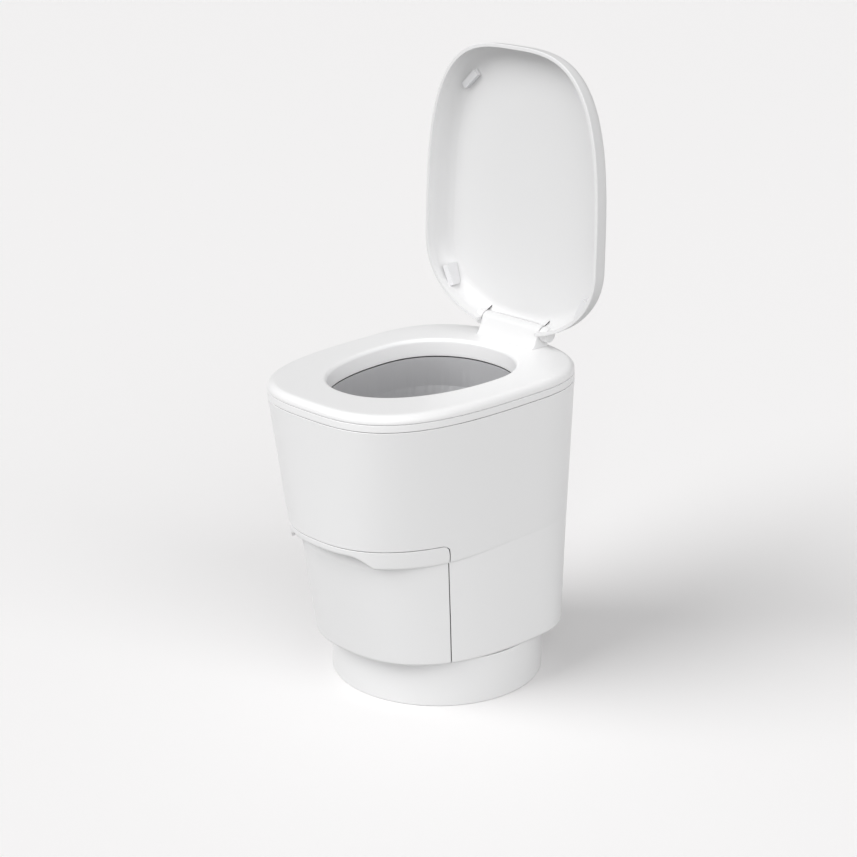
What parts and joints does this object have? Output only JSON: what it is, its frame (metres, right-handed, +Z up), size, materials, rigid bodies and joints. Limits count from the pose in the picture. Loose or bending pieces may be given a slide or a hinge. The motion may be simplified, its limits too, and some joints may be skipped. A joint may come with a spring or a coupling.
{
  "type": "waterless toilet",
  "caption": "White waterless toilet that seals waste in a lining film: lid, tilting seat, film cassette, welding jaws, feed rollers and a pull-out waste bin on a swivel plinth.",
  "frame": {"origin": "on the floor, at the centre of the round plinth, on the swivel axis", "axes": "+Z up, the front with the pull-out compartment faces -Y, +X to the left of someone sitting on it"},
  "size_m": [0.37, 0.478, 0.9848],
  "materials": {
    "white_plastic": "glossy white moulding",
    "soft_white": "soft, pale",
    "grey_plastic": "matt grey",
    "dark_plastic": "matt dark",
    "film": "soft grey film",
    "board": "green circuit board",
    "steel": "plain zinc-coated steel",
    "aluminium": "machined",
    "brass": "turned",
    "rubber": "black rubber",
    "silicone": "heat-proof silicone"
  },
  "bodies": {
    "base": {"floor_plinth": "white_plastic", "plinth_flange": "white_plastic", "plinth_deck": "white_plastic", "slide_ring": "grey_plastic"},
    "housing": {"turntable": "aluminium", "swivel_bolt": "steel", "floor_pan": "steel", "main_shell": "white_plastic", "collar": "white_plastic", "left_frame": "steel", "right_frame": "steel", "rear_plate": "steel", "front_beam": "steel", "cassette_bucket": "grey_plastic", "liner_cassette": "grey_plastic", "film_pack": "film", "liner_film": "film", "fixed_jaw": "aluminium", "counter_pad": "silicone", "guide_rods": "steel", "spindle_bearing": "brass", "jaw_motor": "dark_plastic", "drive_belt": "rubber", "feed_motor": "dark_plastic", "control_board": "board", "board_standoffs": "steel", "power_inlet": "dark_plastic", "outer_rails": "steel", "magnet_catch": "dark_plastic", "lid_switch": "dark_plastic", "shell_screws": "steel"},
    "welder_jaw": {"moving_jaw": "aluminium", "heater_bar": "brass", "jaw_nut": "brass"},
    "welder_spindle": {"spindle": "steel", "spindle_pulley": "dark_plastic"},
    "motor_drive": {"motor_pulley": "dark_plastic"},
    "feed_roller": {"feed_shaft": "steel", "feed_sleeve": "rubber", "feed_gear": "grey_plastic"},
    "idler_roller": {"idler_shaft": "steel", "idler_sleeve": "rubber", "idler_gear": "grey_plastic"},
    "rail_carriage": {"middle_rails": "steel"},
    "drawer": {"inner_rails": "steel", "drawer_tray": "grey_plastic", "waste_bin": "dark_plastic", "front_flap": "white_plastic", "flap_screws": "steel", "catch_plate": "steel"},
    "seat": {"seat_ring": "white_plastic", "hinge_block": "white_plastic", "seat_buffers": "soft_white", "tilt_pins": "steel", "damper_barrels": "grey_plastic"},
    "lid": {"lid_shell": "white_plastic", "lid_arms": "white_plastic", "lid_pads": "soft_white", "lid_hinge_pins": "steel"}
  },
  "joints": [
    {"name": "swivel", "type": "hinge", "parent": "base", "child": "housing", "pos_m": [0, 0, 0.06], "axis": [0, 0, 1], "range_deg": [-90, 90]},
    {"name": "jaw_slide", "type": "slide", "parent": "housing", "child": "welder_jaw", "axis": [0, 1, 0], "range_m": [0, 0.0297]},
    {"name": "spindle_turn", "type": "hinge", "parent": "housing", "child": "welder_spindle", "pos_m": [0, -0.1, 0.302], "axis": [0, 1, 0], "range_deg": [0, 1070]},
    {"name": "motor_turn", "type": "hinge", "parent": "housing", "child": "motor_drive", "pos_m": [0.06, -0.1, 0.262], "axis": [0, 1, 0], "range_deg": [0, 1605]},
    {"name": "feed_turn", "type": "hinge", "parent": "housing", "child": "feed_roller", "pos_m": [0, -0.01, 0.262], "axis": [1, 0, 0], "continuous": true},
    {"name": "idler_turn", "type": "hinge", "parent": "housing", "child": "idler_roller", "pos_m": [0, 0.01, 0.262], "axis": [1, 0, 0], "continuous": true},
    {"name": "drawer_slide", "type": "slide", "parent": "housing", "child": "drawer", "axis": [0, -1, 0], "range_m": [0, 0.32]},
    {"name": "rail_slide", "type": "slide", "parent": "housing", "child": "rail_carriage", "axis": [0, -1, 0], "range_m": [0, 0.16]},
    {"name": "seat_tilt", "type": "hinge", "parent": "housing", "child": "seat", "pos_m": [0, 0.197, 0.504], "axis": [-1, 0, 0], "range_deg": [0, 60]},
    {"name": "lid_turn", "type": "hinge", "parent": "seat", "child": "lid", "pos_m": [0, 0.176, 0.5335], "axis": [-1, 0, 0], "range_deg": [-91, 0]}
  ],
  "couplings": [
    {"joint": "spindle_turn", "follows": "jaw_slide", "rad_per_m": 628.32},
    {"joint": "motor_turn", "follows": "jaw_slide", "rad_per_m": 942.48},
    {"joint": "idler_turn", "follows": "feed_turn", "ratio": -1},
    {"joint": "rail_slide", "follows": "drawer_slide", "ratio": 0.5}
  ]
}
